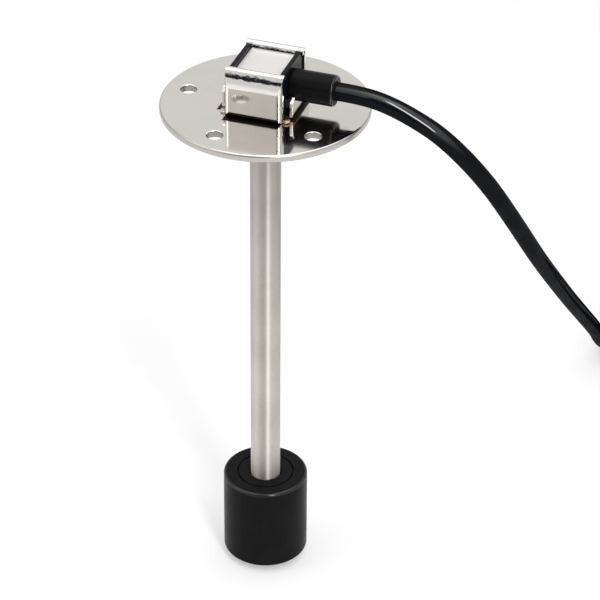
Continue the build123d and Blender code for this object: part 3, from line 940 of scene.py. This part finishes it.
class SENDER_OT_cable(bpy.types.Operator):
    """Lay the cable from its outlet to the floor and wind the rest into a neat coil behind."""

    bl_idname = "sender.cable"
    bl_label = "Lay Cable"
    bl_options = BUTTON_OPTIONS

    def execute(self, context):
        cable = context.scene.sender_cable
        thick = cable.diameter
        center = (COIL_LOW + COIL_HIGH) / 2
        outer_r = (COIL_HIGH.x - COIL_LOW.x) / 2 - thick / 2
        points = list(CABLE_ROUTE)
        # The curve runs inside its control points, so they stand a little further out
        swell = 1 / math.cos(math.pi / cable.points_per_turn)
        step = 2 * math.pi / cable.points_per_turn
        turns = round((cable.start_angle - cable.end_angle) / step)
        for count in range(turns + 1):
            angle = cable.start_angle - count * step
            inward, raised = self.lane(math.degrees(angle))
            radius = (outer_r - inward * thick) * swell
            points.append((
                center.x + radius * math.cos(angle),
                center.y + radius * math.sin(angle),
                FLOOR_Z + thick / 2 + raised * thick,
            ))
        jacket = add_tube("signal_cable", points, thick, "jacket")
        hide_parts("cable_run", "cable_coil")
        ends = self.lay_leads()
        return {"FINISHED"}

    @staticmethod
    def lane(angle):
        """How many diameters inward and up the cable lies, at an angle of the coil in degrees."""
        def eased(start, end):
            share = min(1, max(0, (start - angle) / (start - end)))
            return share * share * (3 - 2 * share)

        # It climbs onto its first laps, moves inward there, and comes down inside them
        return eased(-380, -445), eased(-85, -150) - eased(-680, -745)

    @staticmethod
    def lay_leads():
        """Two insulated leads with twisted bare tips, in the places of their solids."""
        pieces = []
        for number, key, bend in ((1, "red", 0.0006), (2, "black", -0.0006)):
            body_low, body_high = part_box(f"lead_end_{number}")
            tip_low, tip_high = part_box(f"lead_tip_{number}")
            thick = body_high.z - body_low.z
            tip_thick = tip_high.z - tip_low.z
            middle = (body_low + body_high) / 2
            tip_middle = (tip_low + tip_high) / 2
            way = (tip_middle - middle).normalized()
            side = Vector((-way.y, way.x, 0))
            span = Vector((abs(way.x), abs(way.y), 0))
            half = (body_high - body_low).dot(span) / 2 - thick * 0.1
            tip_half = (tip_high - tip_low).dot(span) / 2 - tip_thick * 0.1
            start, end = middle - way * half, middle + way * half
            bends = [start.lerp(end, 0.3) + side * bend, start.lerp(end, 0.7) - side * bend]
            line = [start, *bends, end]
            lead = add_tube(f"lead_insulation_{number}", line, thick, key)
            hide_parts(f"lead_end_{number}")
            strand = (tip_middle, tip_half, tip_thick / 3, way, side)
            tip = add_mesh(
                f"lead_strands_{number}", lambda shape: twisted_strands(shape, *strand),
                "copper")
            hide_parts(f"lead_tip_{number}")
            pieces += [lead, tip]
        return pieces


class SENDER_OT_outlet(bpy.types.Operator):
    """Turn the cable's moulded sleeve with its rounded shoulder and mouth."""

    bl_idname = "sender.outlet"
    bl_label = "Turn Outlet Sleeve"
    bl_options = BUTTON_OPTIONS

    def execute(self, context):
        cable_r = context.scene.sender_cable.diameter / 2
        lip_r = cable_r + 0.0003
        root_r = GLAND_R * 0.75
        root = HOUSING_HIGH.x - 0.002
        wall = HOUSING_HIGH.x + 0.00005
        end = GLAND_HIGH.x - 0.0015
        lip_end = end + 0.0004
        profile = rounded(
            [
                (root, cable_r), (root, root_r), (wall, root_r), (wall, GLAND_R),
                (end, GLAND_R), (end, lip_r), (lip_end, lip_r), (lip_end, cable_r),
            ],
            (0, 0, 0, 0.0003, context.scene.sender_shape.sleeve_edge, 0, 0.00025, 0.0001))
        heart, outward = Vector((0, 0, GLAND_Z)), Vector((1, 0, 0))
        sleeve = add_mesh(
            "outlet_sleeve", lambda shape: turned(shape, profile, heart, outward),
            "sleeve")
        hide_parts("cable_gland")
        paint(cable_stub="jacket")
        return {"FINISHED"}


class SENDER_OT_head(bpy.types.Operator):
    """Finish the flange, the folded bracket, the housing and the plate of the head."""

    bl_idname = "sender.head"
    bl_label = "Finish Head"
    bl_options = BUTTON_OPTIONS

    def execute(self, context):
        sizes = context.scene.sender_shape
        self.press_flange(sizes)
        paint(head_bracket="bracket", head_housing="housing", potting="resin")
        self.lay_plate()
        self.trim_tabs(sizes)
        self.round_lips(sizes)
        self.run_beads()
        return {"FINISHED"}

    @staticmethod
    def press_flange(sizes):
        """The round plate with its bolt holes, every edge softly broken."""
        circles = [(0, 0, FLANGE_HIGH.x, sizes.flange_edge), (0, 0, STEM_R, 0.0001)]
        reach = sizes.bolt_circle / 2
        for number in range(sizes.bolt_count):
            angle = math.pi + 2 * math.pi * number / sizes.bolt_count
            x, y = reach * math.cos(angle), reach * math.sin(angle)
            circles.append((x, y, sizes.bolt_hole / 2, sizes.hole_edge))
        flange = add_mesh(
            "round_flange",
            lambda shape: plate_with_holes(shape, FLANGE_LOW.z, FLANGE_HIGH.z, circles),
            "flange")
        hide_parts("flange")

    @staticmethod
    def soften(shape, width):
        """Round every edge of a shape."""
        bmesh.ops.bevel(
            shape, geom=shape.edges[:], offset=width, segments=3, affect="EDGES", profile=0.5)

    def lay_plate(self):
        """The matt plate with softened edges."""
        def build(shape):
            bmesh.ops.create_cube(shape, size=1)
            bmesh.ops.scale(shape, verts=shape.verts, vec=PLATE_HIGH - PLATE_LOW)
            bmesh.ops.translate(shape, verts=shape.verts, vec=(PLATE_LOW + PLATE_HIGH) / 2)
            self.soften(shape, 0.00016)

        plate = add_mesh("top_plate", build, "plate")
        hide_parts("head_plate")

    def trim_tabs(self, sizes):
        """The faces and cut edges of the two side tabs, a hair proud of their solids."""
        proud = 0.00004
        half = sizes.tab_width / 2 + proud
        top = FLANGE_HIGH.z + sizes.tab_height + proud
        foot = FLANGE_HIGH.z + 0.0019
        cut = sizes.tab_corner
        outline = [
            (-half, foot), (half, foot), (half, top - cut), (half - cut, top),
            (cut - half, top), (-half, top - cut),
        ]
        for number, side in ((1, -1), (2, 1)):
            outer = side * (BRACKET_HIGH.x + proud)
            inner = side * (BRACKET_HIGH.x - sizes.sheet - proud)

            def build(shape):
                loops = [[shape.verts.new((x, y, z)) for y, z in outline] for x in (inner, outer)]
                for loop in loops:
                    shape.faces.new(loop)
                bridge(shape, loops)
                self.soften(shape, 0.00018)

            add_mesh(f"side_tab_{number}", build, "bracket")

    @staticmethod
    def round_lips(sizes):
        """The inner flanks of the curled edges, which lean towards the plate between the rims."""
        half = (PLATE_HIGH.x - PLATE_LOW.x) / 2 - 0.0002
        face = BRACKET_HIGH.y - sizes.curl_depth
        low, high = PLATE_HIGH.z + 0.00005, BRACKET_HIGH.z - 0.0003
        profile = [
            (face + 0.0009, low), (face - 0.0004, low), (face - 0.00045, low + 0.0002),
            (face - 0.0002, low + 0.0008), (face + 0.0002, high - 0.0002), (face + 0.0009, high),
        ]
        # The first and last row are slimmer, so that the ends are rounded too
        slim = 0.00015
        rows = ((-half, slim), (-half + slim, 0), (half - slim, 0), (half, slim))
        for number, side in ((1, -1), (2, 1)):
            def build(shape):
                loops = [
                    [shape.verts.new((x, side * (y + back), z)) for y, z in profile]
                    for x, back in rows
                ]
                bridge(shape, loops)
                shape.faces.new(loops[0])
                shape.faces.new(loops[-1])

            add_mesh(f"curl_flank_{number}", build, "bracket")

    @staticmethod
    def run_beads():
        """Tack welds as uneven frozen drops at the foot of the bracket."""
        for number, (low, high) in enumerate(BEAD_BOXES, start=1):
            middle, half = (low + high) / 2, (high - low) / 2

            def build(shape):
                bmesh.ops.create_icosphere(shape, subdivisions=5, radius=1)
                for vert in shape.verts:
                    ripple = noise.noise(vert.co * 1.9 + Vector((number * 7.1, 0, 0))) * 0.2
                    ripple += noise.noise(vert.co * 5 + Vector((0, number * 3.3, 0))) * 0.07
                    grown = vert.co * (0.92 + ripple)
                    vert.co = Vector((
                        middle.x + grown.x * half.x,
                        middle.y + grown.y * half.y,
                        low.z + (grown.z * 0.5 + 0.4) * (high.z - low.z),
                    ))

            key = "tack" if ran_hot(low) else "weld"
            bead = add_mesh(f"tack_weld_{number}", build, key)
            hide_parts(f"bracket_weld_{number}")


class SENDER_OT_stem(bpy.types.Operator):
    """Finish the stem, its plug, its stop rings and the weld under the flange."""

    bl_idname = "sender.stem"
    bl_label = "Finish Stem"
    bl_options = BUTTON_OPTIONS

    def execute(self, context):
        paint(stem_tube="stem", stem_plug="stem", stem_weld="weld")
        paint(lower_stop_ring="spring", upper_stop_ring="spring")
        return {"FINISHED"}


class SENDER_OT_float(bpy.types.Operator):
    """Finish the float, its cap and the magnet inside."""

    bl_idname = "sender.float"
    bl_label = "Finish Float"
    bl_options = BUTTON_OPTIONS

    def execute(self, context):
        sizes = context.scene.sender_shape
        foot, top, outer_r = FLOAT_LOW.z, FLOAT_HIGH.z, FLOAT_HIGH.x
        bore_r = sizes.float_bore / 2
        mouth_r = CAP_HIGH.x + 0.00008
        sleeve_r = bore_r + sizes.pocket_sleeve
        floor = MAGNET_LOW.z - 0.0003
        body = rounded(
            [
                (foot, bore_r), (foot, outer_r), (top, outer_r), (top, mouth_r),
                (floor, mouth_r), (floor, sleeve_r), (CAP_LOW.z, sleeve_r), (CAP_LOW.z, bore_r),
            ],
            (0.0004, sizes.float_edge, sizes.float_edge, 0.0003, 0, 0, 0, 0))
        groove_z = CAP_HIGH.z - sizes.cap_groove * 3
        groove_r = CAP_HIGH.x - sizes.cap_groove
        cap = rounded(
            [
                (CAP_LOW.z, bore_r), (CAP_LOW.z, CAP_HIGH.x), (groove_z, CAP_HIGH.x),
                (groove_z, groove_r), (CAP_HIGH.z, groove_r), (CAP_HIGH.z, bore_r),
            ],
            (0, 0, 0, 0, 0.0002, 0.0004))
        for name, profile, node_name in (
            ("float_shell", body, "float_body"), ("float_ring", cap, "float_cap")
        ):
            piece = add_mesh(
                name, lambda shape: turned(shape, profile, Vector(), UP, 144),
                "foam", FLOAT)
            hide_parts(node_name)
        paint(float_magnet="ferrite")
        return {"FINISHED"}


class SENDER_OT_circuit(bpy.types.Operator):
    """Finish the strip inside the stem, with its switches, resistors and wires."""

    bl_idname = "sender.circuit"
    bl_label = "Finish Circuit"
    bl_options = BUTTON_OPTIONS

    def execute(self, context):
        paint(circuit_strip="board", core_wire_1="red", core_wire_2="black")
        for part, key in (("reed_switch", "reed"), ("resistor", "resistor")):
            paint(**{name: key for name in nodes if name.startswith(part)})
        return {"FINISHED"}


class SENDER_PT_panel(bpy.types.Panel):
    """The sender's sizes, finishes and steps."""

    bl_label = "Fuel Sender"
    bl_idname = "SENDER_PT_panel"
    bl_space_type = "VIEW_3D"
    bl_region_type = "UI"
    bl_category = "Fuel Sender"

    def draw(self, context):
        layout = self.layout
        for group_name, _ in GROUPS:
            group = getattr(context.scene, group_name)
            box = layout.box()
            for name in group.__annotations__:
                box.prop(group, name)
        for step in STEPS:
            layout.operator(step.bl_idname)


GROUPS = (
    ("sender_shape", SenderShape),
    ("sender_finish", SenderFinish),
    ("sender_cable", SenderCable),
    ("sender_studio", SenderStudio))
STEPS = (
    SENDER_OT_finishes,
    SENDER_OT_studio,
    SENDER_OT_cable,
    SENDER_OT_outlet,
    SENDER_OT_head,
    SENDER_OT_stem,
    SENDER_OT_float,
    SENDER_OT_circuit)


def register():
    for name, group in GROUPS:
        bpy.utils.register_class(group)
        setattr(bpy.types.Scene, name, bpy.props.PointerProperty(type=group))
    for step in STEPS:
        bpy.utils.register_class(step)
    bpy.utils.register_class(SENDER_PT_panel)


def unregister():
    bpy.utils.unregister_class(SENDER_PT_panel)
    for step in reversed(STEPS):
        bpy.utils.unregister_class(step)
    for name, group in reversed(GROUPS):
        delattr(bpy.types.Scene, name)
        bpy.utils.unregister_class(group)


def main():
    register()
    bpy.ops.sender.finishes()
    bpy.ops.sender.studio()
    bpy.ops.sender.cable()
    bpy.ops.sender.outlet()
    bpy.ops.sender.head()
    bpy.ops.sender.stem()
    bpy.ops.sender.float()
    bpy.ops.sender.circuit()


if __name__ == "__main__":
    main()
